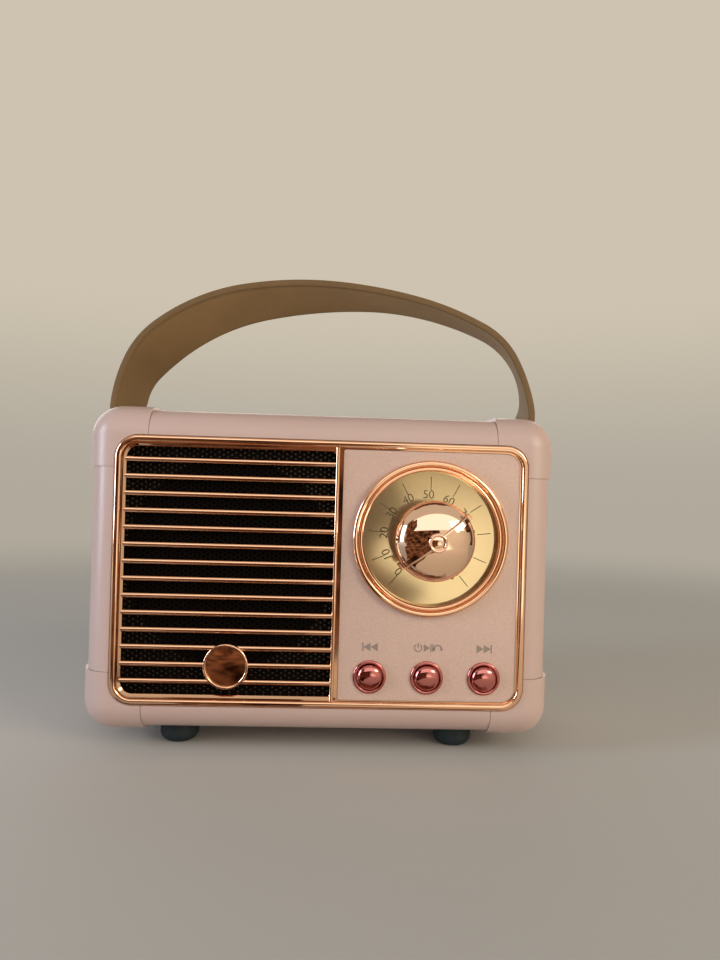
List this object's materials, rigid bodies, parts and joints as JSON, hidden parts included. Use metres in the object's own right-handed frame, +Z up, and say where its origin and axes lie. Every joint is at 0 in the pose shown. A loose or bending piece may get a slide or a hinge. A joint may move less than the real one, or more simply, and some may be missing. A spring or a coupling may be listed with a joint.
{
  "type": "tabletop radio",
  "caption": "Small retro tabletop radio with a barred speaker grille, a dial with a domed knob, press buttons and a strap handle.",
  "frame": {"origin": "centre of the footprint at the underside of the feet", "axes": "+X to the right seen from the front, +Y to the back, +Z up; the grille and the dial face -Y"},
  "size_m": [0.1062, 0.062, 0.1105],
  "materials": {
    "shell": "satin",
    "plating": "polished rose gold",
    "mesh": "matt",
    "panel": "fine pearl",
    "dial_print": "satin",
    "knob": "polished rose gold",
    "strap": "suede",
    "rubber": "matt",
    "foam": "open cell",
    "steel": "zinc plated",
    "black_plastic": "matt",
    "board": "solder mask",
    "ferrite": "matt",
    "paper": "pressed paper",
    "spider": "woven",
    "copper": "lacquered",
    "cell": "foil",
    "lens": "clear"
  },
  "bodies": {
    "cabinet": {"housing": "shell", "guard_top_left": "shell", "guard_top_right": "shell", "guard_bottom_left": "shell", "guard_bottom_right": "shell", "rear_cover": "shell", "grille_frame": "plating", "dial_bezel": "plating", "badge_disc": "plating", "prev_ring": "plating", "play_ring": "plating", "next_ring": "plating", "speaker_mesh": "mesh", "control_panel": "panel", "dial_plate": "dial_print", "strap": "strap", "foot_front_left": "rubber", "foot_front_right": "rubber", "foot_rear_left": "rubber", "foot_rear_right": "rubber", "speaker_surround": "rubber", "speaker_gasket": "foam", "battery_pad": "foam", "dial_nut": "steel", "dial_control": "steel", "speaker_basket": "steel", "speaker_top_plate": "steel", "speaker_yoke": "steel", "speaker_screws": "steel", "control_board_screws": "steel", "main_board_screws": "steel", "rear_cover_screws": "steel", "strap_screws": "steel", "strap_clamp_left": "steel", "strap_clamp_right": "steel", "usb_socket": "steel", "card_socket": "steel", "prev_switch": "black_plastic", "play_switch": "black_plastic", "next_switch": "black_plastic", "aux_jack": "black_plastic", "control_board": "board", "main_board": "board", "speaker_magnet": "ferrite", "speaker_spider": "spider", "battery": "cell", "charge_light": "lens"},
    "prev_key": {"prev_button": "knob", "prev_plunger": "black_plastic"},
    "play_key": {"play_button": "knob", "play_plunger": "black_plastic"},
    "next_key": {"next_button": "knob", "next_plunger": "black_plastic"},
    "dial": {"dial_knob": "knob", "dial_pointer": "knob", "dial_shaft": "steel"},
    "cone": {"speaker_cone": "paper", "dust_cap": "paper", "voice_coil": "copper"}
  },
  "joints": [
    {"name": "prev_press", "type": "slide", "parent": "cabinet", "child": "prev_key", "axis": [0, 1, 0], "range_m": [0, 0.0004], "stiffness_N_per_m": 800},
    {"name": "play_press", "type": "slide", "parent": "cabinet", "child": "play_key", "axis": [0, 1, 0], "range_m": [0, 0.0004], "stiffness_N_per_m": 800},
    {"name": "next_press", "type": "slide", "parent": "cabinet", "child": "next_key", "axis": [0, 1, 0], "range_m": [0, 0.0004], "stiffness_N_per_m": 800},
    {"name": "dial_turn", "type": "hinge", "parent": "cabinet", "child": "dial", "pos_m": [0.02438, -0.019, 0.0497], "axis": [0, 1, 0], "range_deg": [-12, 268]},
    {"name": "cone_stroke", "type": "slide", "parent": "cabinet", "child": "cone", "axis": [0, 1, 0], "range_m": [-0.0008, 0.0008], "stiffness_N_per_m": 1500, "deforming": ["speaker_surround", "speaker_spider"]}
  ]
}
